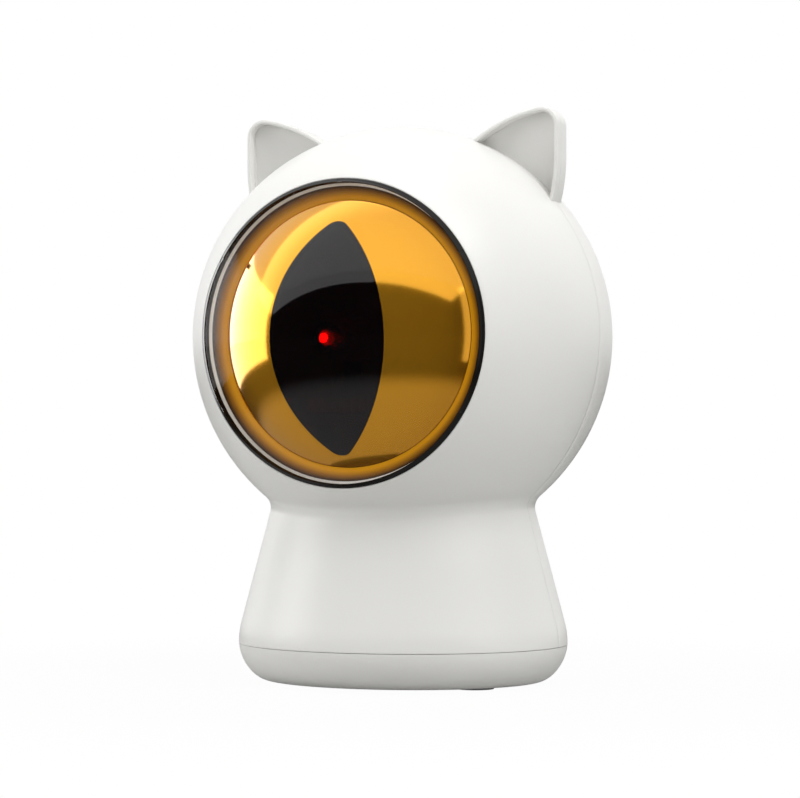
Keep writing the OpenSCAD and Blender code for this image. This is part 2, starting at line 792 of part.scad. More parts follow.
module pan_pinion() color("gold") at_pan_motor() translate([0, 0, pan_gear_z - 0.1])
    pinion(pan_module, gear_w + 0.2);

module pan_gear() color("white") at_pan_axis() translate([0, 0, pan_gear_z]) difference() {
    linear_extrude(gear_w) rotate([0, 0, 180]) gear_outline(pan_teeth, pan_module);
    rod(axle_d / 2 + run_fit, -1, gear_w + 1);
    for (a = [30:60:330]) rotate([0, 0, a]) translate([pan_r * 0.66, 0, 0]) rod(pan_r * 0.17, -1, gear_w + 1);
    at_yoke_screws() rod(small_screw_r, -1, gear_w + 1);
}

// ---------- yoke and tilt drive ----------

module at_yoke_screws() for (s = [-1, 1]) translate([s * 5.6, 0, 0]) children();

module at_tilt_axis() translate([0, gimbal_y, gimbal_z]) children();

// Fork on the pan gear: floor, two arms, and a plate behind the right arm for the tilt motor
module pan_yoke() color("white") difference() {
    union() {
        translate([-arm_x - arm_t, gimbal_y - 5, yoke_z]) cube([2 * (arm_x + arm_t), 10, yoke_t]);
        at_pan_axis() rod(7, yoke_z, yoke_top);
        for (s = [0, 1]) mirror([s, 0, 0]) {
            translate([arm_x, gimbal_y - arm_r, yoke_z]) cube([arm_t, 2 * arm_r, gimbal_z - yoke_z]);
            along_x(arm_x, gimbal_y, gimbal_z) rod(arm_r, 0, arm_t);
        }
        along_x(arm_x, gimbal_y + tilt_distance, gimbal_z) rod(plate_r, 0, arm_t);
        translate([arm_x, gimbal_y, gimbal_z - arm_r]) cube([arm_t, tilt_distance, 2 * arm_r]);
    }
    at_pan_axis() {
        rod(axle_d / 2 + run_fit, yoke_z - 1, yoke_top + 1);
        at_yoke_screws() rod(small_screw_r + slip_fit, yoke_z - 1, yoke_top + 1);
    }
    along_x(-arm_x - arm_t - 1, gimbal_y, gimbal_z) rod(pin_d / 2 + run_fit, 0, 2 * (arm_x + arm_t + 1));
    at_tilt_motor() {
        rod(nose_r + slip_fit, -1, arm_t + 1);
        at_motor_screws() {
            rod(small_screw_r + slip_fit, -1, arm_t + 1);
            rod(small_head_r + slip_fit, arm_t - small_head_t - 0.1, arm_t + 1);
        }
    }
}

module yoke_screws() color("silver") at_pan_axis() at_yoke_screws() turned_over(yoke_top + small_head_t)
    screw(small_screw_r, small_head_r, small_head_t, gear_w + yoke_t - 0.5, 0);

// Tilt motor's face on the outer side of the right arm, its shaft pointing at the laser
module at_tilt_motor() translate([arm_x + arm_t, gimbal_y + tilt_distance, gimbal_z])
    rotate([0, -90, 0]) children();

module tilt_motor() color("silver") at_tilt_motor() motor_body();

module tilt_motor_screws() color("silver") at_tilt_motor() at_motor_screws()
    turned_over(arm_t - 0.1) screw(small_screw_r, small_head_r, small_head_t - 0.1, 3.2, 0);

module tilt_shaft() color("lightgray") at_tilt_motor()
    rod(shaft_d / 2, -shaft_in, arm_x + arm_t - sector_x + 0.4);

module tilt_pinion() color("gold") along_x(sector_x - 0.1, gimbal_y + tilt_distance, gimbal_z)
    pinion(tilt_module, gear_w + 0.2);

module tilt_sector() color("white") along_x(sector_x, gimbal_y, gimbal_z) difference() {
    linear_extrude(gear_w) intersection() {
        gear_outline(tilt_teeth, tilt_module);
        union() {
            circle(r = hub_r);
            polygon([[-1, 0], 2 * tilt_r * [cos(sector_half), -sin(sector_half)], [2 * tilt_r, 0],
                2 * tilt_r * [cos(sector_half), sin(sector_half)]]);
        }
    }
    rod(boss_r, -1, gear_w + 1);
}

// Tube that holds the laser, with a boss on each side for the tilt pins
module laser_cradle() color("white") at_tilt_axis() difference() {
    union() {
        rotate([90, 0, 0]) rod(tube_outer, -cradle_back, cradle_front);
        rotate([0, 90, 0]) rod(boss_r, -sector_x - gear_w, sector_x + gear_w);
        translate([0, -cradle_front + 3, 0]) rod(1.8, tube_outer - 0.6, tube_outer + 0.8);
    }
    rotate([90, 0, 0]) {
        rod(laser_d / 2, barrel_back, cradle_front + 1);
        rod(laser_d / 2 - 0.5, -cradle_back - 1, cradle_front);
    }
    rotate([0, 90, 0]) rod(pin_d / 2, -sector_x - gear_w - 1, sector_x + gear_w + 1);
    translate([0, -cradle_front + 3, 0]) rod(small_screw_r + 0.3, 0, tube_outer + 2);
}

module tilt_pins() color("silver") at_tilt_axis() for (s = [0, 1]) mirror([s, 0, 0])
    rotate([0, 90, 0]) rod(pin_d / 2, laser_d / 2 + 0.2, arm_x + arm_t);

module laser_barrel() color("goldenrod") at_tilt_axis() rotate([90, 0, 0]) difference() {
    rod(laser_d / 2, barrel_back, laser_reach);
    rod(laser_d / 2 - 1.4, laser_reach - 1.5, laser_reach + 1);
    rod(laser_d / 2 - 1, barrel_back - 1, barrel_back + 3);
}

module laser_lens() color([1, 0.3, 0.3, 0.6]) at_tilt_axis() rotate([90, 0, 0])
    rod(laser_d / 2 - 1.4, laser_reach - 1.5, laser_reach - 0.4);

module laser_driver() color("darkgreen") at_tilt_axis() rotate([90, 0, 0])
    rod(laser_d / 2 - 0.6, barrel_back - 1, barrel_back);

module barrel_screw() color("dimgray") at_tilt_axis() translate([0, -cradle_front + 3, 0]) difference() {
    rod(small_screw_r + 0.3, laser_d / 2, tube_outer + 0.6);
    rod(0.5, tube_outer - 0.4, tube_outer + 2);
}

front_shell();
back_shell();
base_cap();
rubber_feet();
base_screws();
eye_bezel();
bezel_screws();
dome_lens();
iris_shell();
pupil_window();
iris_retainer();
battery_cap();
cap_contacts();
battery_holder();
battery_cells();
top_contacts();
main_board();
board_chips();
board_screws();
usb_shell();
usb_tongue();
switch_body();
switch_plunger();
power_button();
status_led();
light_pipe();
mechanism_deck();
deck_screws();
pan_axle();
thrust_washer();
axle_clip();
pan_motor();
pan_motor_screws();
pan_shaft();
pan_pinion();
pan_gear();
pan_yoke();
yoke_screws();
tilt_motor();
tilt_motor_screws();
tilt_shaft();
tilt_pinion();
laser_cradle();
tilt_pins();
tilt_sector();
laser_barrel();
laser_lens();
laser_driver();
barrel_screw();
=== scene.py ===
"""Automatic cat laser toy, dressed for rendering: a white ball head with two ears and one glossy cat's eye,
on an oval foot.

Lengths are millimetres in the object's frame (+Z up, the eye looks along -Y) and become metres in the
meshes. Shapes are surfaces worked out with numpy on grids of two parameters.
"""
import json
import math

import bmesh
import bpy
import numpy as np
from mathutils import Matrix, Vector

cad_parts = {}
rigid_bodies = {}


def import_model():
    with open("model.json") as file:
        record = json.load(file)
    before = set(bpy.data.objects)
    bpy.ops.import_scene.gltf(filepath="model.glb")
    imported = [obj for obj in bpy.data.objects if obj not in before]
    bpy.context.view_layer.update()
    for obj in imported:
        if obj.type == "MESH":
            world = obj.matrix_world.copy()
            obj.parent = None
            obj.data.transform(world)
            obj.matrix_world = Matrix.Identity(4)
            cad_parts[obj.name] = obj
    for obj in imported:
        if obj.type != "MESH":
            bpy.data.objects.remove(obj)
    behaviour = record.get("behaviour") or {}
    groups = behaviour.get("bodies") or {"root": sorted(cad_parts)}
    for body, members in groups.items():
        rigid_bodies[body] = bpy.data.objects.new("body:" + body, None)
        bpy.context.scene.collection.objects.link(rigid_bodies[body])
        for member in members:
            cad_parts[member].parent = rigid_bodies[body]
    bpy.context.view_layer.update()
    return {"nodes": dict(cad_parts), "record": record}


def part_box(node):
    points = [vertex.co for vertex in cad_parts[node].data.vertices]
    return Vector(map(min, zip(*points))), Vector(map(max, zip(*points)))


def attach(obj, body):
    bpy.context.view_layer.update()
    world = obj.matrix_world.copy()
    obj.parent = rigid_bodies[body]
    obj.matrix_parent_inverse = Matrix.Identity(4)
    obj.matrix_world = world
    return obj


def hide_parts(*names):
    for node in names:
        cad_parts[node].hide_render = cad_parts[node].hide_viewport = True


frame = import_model()
nodes = frame["nodes"]
MM = 0.001

# ---------- sizes, in millimetres, from the frame where it has them ----------


def cad(node):
    """Lowest and highest corner of a CAD node, as arrays in millimetres."""
    return [np.array(corner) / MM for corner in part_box(node)]


def middle_z(node):
    """Height of a CAD node's middle, in millimetres."""
    low, high = cad(node)
    return (low[2] + high[2]) / 2


pupil_low, pupil_high = cad("pupil_window")
button_low, button_high = cad("power_button")
socket_low, socket_high = cad("usb_shell")

# Housing: the ball, its wall, its seams with the height of the one round the foot, the gap round what sits
# in a hole, the indicator's hole, and how far the base stands above the floor on its rubber feet
HEAD_R = 41.5
HEAD_Z = 68.1
WALL = 2.0
SEAM_GAP = 0.1
SEAM_ROUND = 0.25
SEAM_Z = 7.7
HOLE_GAP = 0.15
LAMP_HOLE_R = 1.15
FLOOR_GAP = 0.5

# Foot: half widths at the brim, the neck's half width, and the roundings between them
FOOT_HALF = 33.0
OVAL = 0.9
BRIM_Z = 8.0
BRIM_R = 15.0
BRIM_AT = (FOOT_HALF - BRIM_R, BRIM_Z)
NECK_HALF = 26.1
NECK_FILLET = 3.0
BOTTOM_ROUND = 5.6
BOTTOM_POWER = 1.75

# Eye: the black ring with its notches and flange, the clear dome, the iris on a ball of its own, whose rim
# steps down to a clamped flange, and the window in its slit
EYE_R = 29.3
RING_FACE = 0.8
RING_FLANGE = 1.7
RING_FLANGE_FRONT = 3.7
RING_FLANGE_BACK = 5.3
NOTCH_HALF = 0.55
NOTCH_DEEP = 0.25
NOTCH_SIDE = 0.12
LENS_T = 1.6
LENS_R = EYE_R - RING_FACE - 0.1
IRIS_RIM = 25.3
IRIS_STEP = 1.2
IRIS_FLANGE_R = 27.6
IRIS_PLAY = 0.15
IRIS_R = 33.0
IRIS_T = 1.2
IRIS_GAP = 1.9
IRIS_FORWARD = HEAD_R - LENS_T - IRIS_GAP - IRIS_R
PUPIL_HALF = pupil_high[0]
PUPIL_TALL = (pupil_high[2] - pupil_low[2]) / 2
PUPIL_DROP = HEAD_Z - middle_z("pupil_window")
PUPIL_TIP = 3.0
PUPIL_GAP = 0.05

# Ears: the arcs of their outline, the angle that the tip's arc turns, the rim, and the dish behind it
EAR_HALF = 33.5
EAR_TOP = cad("front_shell")[1][2]
EAR_TIP_R = 3.6
EAR_TURN = 100
EAR_EDGE_R = 32.0
EAR_SIDE_R = 35.2
EAR_SIDE_DROP = EAR_TIP_R * 1.6
EAR_RIM = 0.8
EAR_FRONT = 2.0
EAR_BACK = 4.5
EAR_ROUND = 2.0
EAR_TAPER = 1.6
DISH_R = 60.0
DISH_DEEP = 2.2

# Button: its face, and the flange behind it that keeps it in
BUTTON_FLANGE = 1.0
BUTTON_FLANGE_T = 0.8
BUTTON_R = (button_high[0] - button_low[0]) / 2 - BUTTON_FLANGE
BUTTON_Z = middle_z("power_button")

# ---------- the camera, at the photograph's viewing angle ----------

CAMERA_AT = (230.4, -529.4, 50.0)
CAMERA_TURN = 23.57
CAMERA_UP = 0.59
CAMERA_LENS = 131.1


def make_camera():
    """Camera to the right of the eye's axis, level with the lower part of the head."""
    data = bpy.data.cameras.new("camera")
    data.lens = CAMERA_LENS
    data.sensor_width = 36
    data.clip_start = 0.01
    camera = bpy.data.objects.new("camera", data)
    camera.location = [c * MM for c in CAMERA_AT]
    camera.rotation_euler = (math.radians(90 + CAMERA_UP), 0, math.radians(CAMERA_TURN))
    bpy.context.scene.collection.objects.link(camera)
    bpy.context.scene.camera = camera


make_camera()

# ---------- mesh helpers ----------

WELD = 0.002 * MM


def grid_faces(rows, columns, start, ring_rows, ring_columns):
    """Quads of a grid of rows x columns points numbered from start, closed round along either direction if
    asked."""
    down, across = np.arange(rows - (not ring_rows)), np.arange(columns - (not ring_columns))
    i, j = np.meshgrid(down, across, indexing="ij")
    below, beside = (i + 1) % rows, (j + 1) % columns
    quads = [i * columns + j, i * columns + beside, below * columns + beside, below * columns + j]
    return start + np.stack(quads, -1).reshape(-1, 4)


def piece(name, patches, middle=None):
    """A mesh object of several patches, each (points in mm, shaped rows x columns x 3, ring_rows,
    ring_columns). Points within WELD are merged, so poles close. Faces look away from middle."""
    points, faces, start = [], [], 0
    for patch, ring_rows, ring_columns in patches:
        rows, columns = patch.shape[:2]
        faces += grid_faces(rows, columns, start, ring_rows, ring_columns).tolist()
        points.append(patch.reshape(-1, 3))
        start += rows * columns
    mesh = bpy.data.meshes.new(name)
    mesh.from_pydata((np.concatenate(points) * MM).tolist(), [], faces)
    made = bpy.data.objects.new(name, mesh)
    bpy.context.scene.collection.objects.link(made)
    clean_mesh(mesh, middle)
    return made


def clean_mesh(mesh, middle):
    """Merges doubles and turns the faces outwards: by Blender's rule on a closed mesh, and away from middle
    where one is given."""
    shape = bmesh.new()
    shape.from_mesh(mesh)
    bmesh.ops.remove_doubles(shape, verts=shape.verts, dist=WELD)
    bmesh.ops.dissolve_degenerate(shape, edges=shape.edges, dist=WELD / 4)
    bmesh.ops.recalc_face_normals(shape, faces=shape.faces)
    if middle is not None:
        reach = sum(f.calc_area() * f.normal.dot(f.calc_center_median() - middle) for f in shape.faces)
        if reach < 0:
            bmesh.ops.reverse_faces(shape, faces=shape.faces)
    shape.to_mesh(mesh)
    shape.free()


def modify(made, kind, **settings):
    """Adds a modifier to a piece."""
    modifier = made.modifiers.new(kind.lower(), kind)
    for name, value in settings.items():
        setattr(modifier, name, value)


def settle(made):
    """Applies a piece's modifiers to its mesh."""
    graph = bpy.context.evaluated_depsgraph_get()
    mesh = bpy.data.meshes.new_from_object(made.evaluated_get(graph))
    made.modifiers.clear()
    made.data = mesh


def smooth(made, angle=35):
    """Smooth shading with sharp edges where faces meet at more than angle degrees."""
    made.data.shade_smooth()
    made.data.set_sharp_from_angle(angle=math.radians(angle))
    return made


def cut(made, cutters):
    """Takes closed pieces away from a piece and deletes them."""
    for cutter in cutters:
        modify(made, "BOOLEAN", operation="DIFFERENCE", object=cutter, solver="EXACT")
    settle(made)
    for cutter in cutters:
        bpy.data.objects.remove(cutter)


def join(made, others):
    """Adds other pieces' meshes to a piece as they are and deletes them."""
    shape = bmesh.new()
    for part in [made, *others]:
        shape.from_mesh(part.data)
    shape.to_mesh(made.data)
    shape.free()
    for other in others:
        bpy.data.objects.remove(other)
    return made


def arc(centre, radius, start, stop, count):
    """Points centre + radius (cos a, sin a), with a running evenly from start to stop in degrees."""
    angle = np.radians(np.linspace(start, stop, count))
    return np.array(centre) + radius * np.stack([np.cos(angle), np.sin(angle)], -1)


def turned(profile, count=192, angles=None, place=None):
    """Surface of revolution: each profile point (r, h) goes round as (r cos a, r sin a, h), then to its
    place."""
    profile = np.asarray(profile, float)
    angle = np.linspace(0, 2 * math.pi, count, endpoint=False) if angles is None else angles
    r, h = profile[:, 0][:, None], profile[:, 1][:, None]
    points = np.stack([r * np.cos(angle), r * np.sin(angle), h + 0 * angle], -1)
    return points if place is None else place(points)


def on_eye(points):
    """Places points whose third coordinate looks out of the eye."""
    return np.stack([points[..., 0], -points[..., 2], HEAD_Z + points[..., 1]], -1)


def facing_back(z):
    """A placing for points whose third coordinate runs along +Y, about height z."""
    return lambda p: np.stack([p[..., 0], p[..., 2], z - p[..., 1]], -1)


def shifted(x, y):
    """A placing that moves points in plan."""
    return lambda p: p + np.array([x, y, 0])


def rod(radius, low, high, place, count=96):
    """Closed cylinder, used to cut holes."""
    profile = [(0, low), (radius, low), (radius, high), (0, high)]
    return piece("hole", [(turned(profile, count, place=place), False, True)])


def prism(levels):
    """Closed solid through rows of points, used to cut holes. Each end is a fan about its row's mean."""
    first, last = (np.broadcast_to(row.mean(0), (1, *row.shape)) for row in (levels[0], levels[-1]))
    return piece("hole", [(np.concatenate([first, levels, last]), False, True)])


# ---------- the housing's shells ----------


def plan_scale(azimuth):
    """Radius in plan of an oval that is 1 wide and OVAL deep: 1 / sqrt(cos^2 + sin^2 / OVAL^2)."""
    return 1 / np.sqrt(np.cos(azimuth) ** 2 + (np.sin(azimuth) / OVAL) ** 2)


def flare_lean():
    """Angle from upright of the line from the neck's edge that touches the brim's arc."""
    neck_z = HEAD_Z - math.sqrt(HEAD_R ** 2 - NECK_HALF ** 2)
    across, up = NECK_HALF - BRIM_AT[0], neck_z - BRIM_AT[1]
    return math.atan2(up, across) - math.acos(BRIM_R / math.hypot(across, up))


LEAN = flare_lean()


def bottom_edge(height):
    """Half width of the foot at heights below the brim. It draws in by BOTTOM_ROUND (1 - u), with
    u = (1 - (1 - v)^p)^(1/p), p = BOTTOM_POWER and v the share of the rise."""
    v = (np.asarray(height) - FLOOR_GAP) / (BRIM_Z - FLOOR_GAP)
    u = (1 - (1 - v) ** BOTTOM_POWER) ** (1 / BOTTOM_POWER)
    return FOOT_HALF - BOTTOM_ROUND * (1 - u)


def foot_side(azimuth):
    """(r, z) of the foot's side in the upright half plane at each azimuth, from the ball down to the seam.
    The fillet's centre lies NECK_FILLET outside both the flare's line and the ball. Its arc, the line and
    the brim's arc touch one another."""
    k = plan_scale(azimuth)
    width = BRIM_AT[0] + BRIM_R * math.cos(LEAN)
    foot = np.stack([k * width, BRIM_AT[1] + BRIM_R * math.sin(LEAN) + 0 * k])
    up = np.stack([-k * math.sin(LEAN), math.cos(LEAN) + 0 * k])
    up /= np.hypot(*up)
    out = np.stack([up[1], -up[0]])
    offset = foot + NECK_FILLET * out - np.array([[0], [HEAD_Z]])
    along = (offset * up).sum(0)
    reach = -along - np.sqrt(along ** 2 - (offset ** 2).sum(0) + (HEAD_R + NECK_FILLET) ** 2)
    centre = foot + NECK_FILLET * out + reach * up
    to_ball = np.arctan2(HEAD_Z - centre[1], -centre[0])
    to_flare = math.pi + np.arctan2(out[1], out[0])
    share = np.linspace(0, 1, 9)[:, None]
    turn = to_ball + (to_flare - to_ball) * share
    fillet = centre[:, None] + NECK_FILLET * np.stack([np.cos(turn), np.sin(turn)])
    touch = centre - NECK_FILLET * out
    flare = touch[:, None] + (foot - touch)[:, None] * np.linspace(0, 1, 14)[1:, None]
    lean = LEAN * np.linspace(1, 0, 7)[1:, None]
    brim = np.stack([k * (BRIM_AT[0] + BRIM_R * np.cos(lean)), BRIM_AT[1] + BRIM_R * np.sin(lean) + 0 * k])
    seam = SEAM_Z + SEAM_GAP / 2
    last = np.stack([k * bottom_edge(seam), seam + 0 * k])[:, None]
    return np.concatenate([fillet, flare, brim, last], 1)


def shell_skin(side, hole):
    """Outer skin of one shell as two welded patches: the ball from a hole round the eye's axis (or its
    pole) out to the seam or to the neck's fillet, and the foot. side is -1 in front and 1 behind."""
    seam_y = SEAM_GAP / 2
    foot_steps, ball_steps, rows = 121, 160, 33
    azimuth = np.linspace(-math.pi, 0, foot_steps)
    r, z = foot_side(azimuth)
    foot = np.stack([r * np.cos(azimuth), np.minimum(r * np.sin(azimuth), -seam_y), z], -1)
    touch = foot[0] - np.array([0, 0, HEAD_Z])
    turn_foot = np.unwrap(np.arctan2(touch[:, 2], touch[:, 0]))
    open_foot = np.arccos(np.clip(-touch[:, 1] / HEAD_R, -1, 1))
    turn_rest = np.linspace(turn_foot[-1], turn_foot[0] + 2 * math.pi, ball_steps + 1)[1:]
    open_rest = np.full(ball_steps, math.acos(seam_y / HEAD_R))
    open_rest[-1] = open_foot[0]
    turn, wide = np.concatenate([turn_foot, turn_rest]), np.concatenate([open_foot, open_rest])
    first = math.asin(hole / HEAD_R)
    opening = first + (wide - first) * np.linspace(0, 1, rows)[:, None]
    out = np.sin(opening)
    head = HEAD_R * np.stack([out * np.cos(turn), -np.cos(opening), out * np.sin(turn)], -1)
    head += np.array([0, 0, HEAD_Z])
    mirror = np.array([1, -side, 1])
    return [(head * mirror, False, False), (foot * mirror, False, False)]


def ear_arcs(inset):
    """(x, z) along the ear on +X, drawn in by inset: arcs for the outer side, the tip and the long upper
    edge. A short upright joins side and tip, and each runs smoothly into the next. Both ends lie inside
    the ball."""
    tip = np.array([EAR_HALF - EAR_TIP_R, EAR_TOP - EAR_TIP_R])
    turn = math.radians(EAR_TURN)
    edge_at = tip - (EAR_EDGE_R - EAR_TIP_R) * np.array([math.cos(turn), math.sin(turn)])
    side_at = (EAR_HALF - EAR_SIDE_R, tip[1] - EAR_SIDE_DROP)
    return np.concatenate([arc(side_at, EAR_SIDE_R - inset, -18, 0, 16),
                           arc(tip, EAR_TIP_R - inset, 0, EAR_TURN, 22),
                           arc(edge_at, EAR_EDGE_R - inset, EAR_TURN + 2, 128, 24)])


def ear_loop(inset):
    """The ear's arcs closed through the ball."""
    root = HEAD_R * np.array([[0.38, 0.62], [0.53, 0.52], [0.7, 0.5]]) + np.array([0, HEAD_Z])
    return np.concatenate([ear_arcs(inset), root])


def ear_row(line, y, hand):
    """An ear's line (x, z) at depth y, on +X or mirrored where hand is -1."""
    return np.stack([hand * line[:, 0], y + 0 * line[:, 0], line[:, 1]], -1)


def ear_rim(hand):
    """Rim of an ear in front of the seam: a bar with rounded front edges, carried along the ear's arcs."""
    back, front, soft = -SEAM_GAP / 2, -EAR_FRONT, 0.28
    corner = 0.3 * soft
    section = [(back, 0), (front + soft, 0), (front + corner, corner), (front, soft), (front, EAR_RIM - soft),
               (front + corner, EAR_RIM - corner), (front + soft, EAR_RIM), (back, EAR_RIM)]
    return np.array([ear_row(ear_arcs(inset), y, hand) for y, inset in section])


def ear_back(hand):
    """Back half of an ear, one closed surface: a plate whose back edge is rounded, and whose front is
    dished by a sphere of radius DISH_R inside the rim."""
    middle = np.array([HEAD_R * 0.53, HEAD_Z + HEAD_R * 0.67])
    seam_y = SEAM_GAP / 2
    back, inside = ear_loop(EAR_TAPER) - middle, ear_loop(EAR_RIM) - middle
    rows = [ear_row(middle + back * share, EAR_BACK, hand) for share in (0, 0.35, 0.7)]
    for angle in np.radians(np.linspace(90, 0, 9)):
        line = ear_loop(EAR_TAPER * (1 - math.cos(angle)))
        rows.append(ear_row(line, EAR_BACK - EAR_ROUND + EAR_ROUND * math.sin(angle), hand))
    rows += [ear_row(ear_loop(inset), seam_y, hand) for inset in (0, EAR_RIM)]
    for share in (1, 0.98, 0.9, 0.8, 0.65, 0.5, 0.3, 0):
        line = middle + inside * share
        away = ((line - middle) ** 2).sum(1)
        dish = DISH_DEEP - DISH_R + np.sqrt(DISH_R ** 2 - away)
        rows.append(ear_row(line, np.maximum(dish, seam_y + 0.05), hand))
    return np.array(rows)


def make_shell(name, side):
    """One shell: the skin with its wall, rounded seam edges, holes, and its parts of both ears."""
    hole = EYE_R + HOLE_GAP if side < 0 else 0
    made = piece(name, shell_skin(side, hole), middle=Vector((0, 0, HEAD_Z * 0.7 * MM)))
    modify(made, "SOLIDIFY", thickness=WALL * MM, offset=-1, use_even_offset=True, use_quality_normals=True)
    modify(made, "BEVEL", width=SEAM_ROUND * MM, segments=2, limit_method="ANGLE",
           angle_limit=math.radians(50))
    settle(made)
    if side > 0:
        cut(made, back_holes())
    form = ear_back if side > 0 else ear_rim
    ears = [piece("ear", [(form(hand), side < 0, side > 0)]) for hand in (1, -1)]
    return smooth(join(made, ears))


def back_holes():
    """Cutters for the button, the indicator and the power socket."""
    half, high = (socket_high[0] - socket_low[0]) / 2, (socket_high[2] - socket_low[2]) / 2 + HOLE_GAP
    flat = half - high + HOLE_GAP
    x, z = np.concatenate([arc((flat, 0), high, -90, 90, 17), arc((-flat, 0), high, 90, 270, 17)]).T
    deep = (10, 60)
    slot = [np.stack([x, y + 0 * x, middle_z("usb_shell") + z], -1) for y in deep]
    return [rod(BUTTON_R + HOLE_GAP, *deep, facing_back(BUTTON_Z)),
            rod(LAMP_HOLE_R, *deep, facing_back(middle_z("light_pipe")), 48), prism(slot)]


def make_button():
    """Round button whose face follows the foot's back: y = OVAL sqrt(A(z)^2 - x^2) plus its stand-off, where
    A is the flare's half width, with a rounded edge and the flange that keeps it in."""
    proud, soft, dished = 0.6, 0.5, 0.25
    angle = np.linspace(0, 2 * math.pi, 96, endpoint=False)
    back = button_low[1]
    ledge, flange = back + BUTTON_FLANGE_T, BUTTON_R + BUTTON_FLANGE

    def face(r, sink):
        x, z = r * np.cos(angle), BUTTON_Z + r * np.sin(angle)
        half = BRIM_AT[0] + (BRIM_R - (z - BRIM_Z) * math.sin(LEAN)) / math.cos(LEAN)
        return np.stack([x, OVAL * np.sqrt(half ** 2 - x ** 2) + proud - sink, z], -1)

    def level(r, y):
        return np.stack([r * np.cos(angle), y + 0 * angle, BUTTON_Z + r * np.sin(angle)], -1)

    rows = [face(r, dished * (1 - (r / BUTTON_R) ** 2)) for r in np.linspace(0, BUTTON_R - soft, 8)]
    for a in np.radians([20, 45, 70, 90]):
        rows.append(face(BUTTON_R - soft + soft * math.sin(a), soft * (1 - math.cos(a))))
    rows += [level(BUTTON_R, ledge), level(flange, ledge), level(flange, back), level(0, back)]
    return smooth(piece("button", [(np.array(rows), False, True)]))


# ---------- the base cap ----------

# The battery cap's recess, the cells' bore and the bayonet's socket, with the slots for its lugs
CAP_RECESS_R = 15.84
CAP_RECESS = 1.0
BORE_R = 13.44
SOCKET_R = 15.29
SOCKET_T = 1.4
SOCKET_TOP = 8
LUG_ANGLES = (45, 165, 285)
LUG_HALF = 17

# The posts for the shells' screws, and the recesses of the rubber feet below them
POST_RING = 20.99
POST_ANGLE = 25
POST_R = 3.2
SCREW_R = 1.15
SCREW_HEAD_R = 2.4
SCREW_HEAD_T = 1.21
FOOT_R = 4.15
FOOT_SUNK = 0.8

# The tray's lip inside the shells, and its floor, which is round inside ROUND_R
LIP_TOP = 9.7
LIP_T = 1.2
LIP_GAP = 0.15
FLOOR_TOP = 2.5
ROUND_R = 14


def oval_row(half_width, half_depth, z, azimuth):
    """One level of an oval: r = 1 / sqrt(cos^2 / a^2 + sin^2 / b^2)."""
    r = 1 / np.sqrt((np.cos(azimuth) / half_width) ** 2 + (np.sin(azimuth) / half_depth) ** 2)
    return np.stack([r * np.cos(azimuth), r * np.sin(azimuth), z + 0 * r], -1)


def make_base_cap():
    """Bottom tray: rounded edge, lip inside the shells, recesses for the battery cap, its lugs and the
    feet, and upright inside it the socket's wall and the posts."""
    azimuth = np.linspace(0, 2 * math.pi, 256, endpoint=False)
    top, pole = SEAM_Z - SEAM_GAP / 2, 0.01
    heights = FLOOR_GAP + (top - FLOOR_GAP) * (1 - np.cos(np.linspace(0, math.pi / 2, 22)))
    lip = FOOT_HALF - WALL - LIP_GAP
    levels = [(pole, FLOOR_GAP), (ROUND_R, FLOOR_GAP), (22, FLOOR_GAP), *zip(bottom_edge(heights), heights),
              (lip + 0.9, top), (lip, top), (lip, LIP_TOP), (lip - LIP_T, LIP_TOP),
              (lip - LIP_T, FLOOR_TOP + 2), (lip - LIP_T - 1, FLOOR_TOP), (ROUND_R, FLOOR_TOP),
              (pole, FLOOR_TOP)]
    drop = FOOT_HALF * (1 - OVAL)
    rows = [oval_row(a, a - drop if a > ROUND_R else a, z, azimuth) for a, z in levels]
    made = piece("base_tray", [(np.array(rows), False, True)])
    low, high = FLOOR_TOP - 0.3, LIP_TOP + 0.2
    wall = SOCKET_R + SOCKET_T
    socket = turned([(SOCKET_R, low), (wall, low), (wall, SOCKET_TOP), (SOCKET_R, SOCKET_TOP)], 96)
    post = [(SCREW_R, low), (POST_R, low), (POST_R, high), (SCREW_R, high)]
    posts = [turned(post, 48, place=shifted(x, y)) for x, y in post_places()]
    cutters = [rod(CAP_RECESS_R, -1, FLOOR_GAP + CAP_RECESS, shifted(0, 0), 128),
               rod(BORE_R, -2, LIP_TOP, shifted(0, 0), 128)]
    cutters += [lug_slot(angle) for angle in LUG_ANGLES]
    recess = FLOOR_GAP + FOOT_SUNK
    for x, y in post_places():
        cutters.append(rod(FOOT_R, -1, recess, shifted(x, y), 64))
        cutters.append(rod(SCREW_HEAD_R, 0, recess + SCREW_HEAD_T, shifted(x, y), 48))
        cutters.append(rod(SCREW_R, 0, LIP_TOP + 1, shifted(x, y), 32))
    cut(made, cutters)
    inside = piece("tray_inside", [(form, True, True) for form in [socket, *posts]])
    return smooth(join(made, [inside]), 30)


def post_places():
    """Where the posts stand in plan, mirrored to all four corners."""
    x, y = POST_RING * math.cos(math.radians(POST_ANGLE)), POST_RING * math.sin(math.radians(POST_ANGLE))
    return [(sx * x, sy * y) for sx in (-1, 1) for sy in (-1, 1)]


def lug_slot(angle):
    """Cutter for one slot that lets a bayonet lug in: a sector of a disc."""
    edge = arc((0, 0), SOCKET_R - 0.15, angle - LUG_HALF, angle + LUG_HALF, 13)
    outline = np.concatenate([[[0, 0]], edge])
    return prism([np.column_stack([outline, np.full(len(outline), z)]) for z in (-1, FLOOR_TOP + 1)])


# ---------- the eye ----------


def ball_depth(r, ball_r, forward=0.0):
    """How far in front of the head's centre a ball's surface lies, r from the eye's axis."""
    return forward + np.sqrt(ball_r ** 2 - np.asarray(r) ** 2)


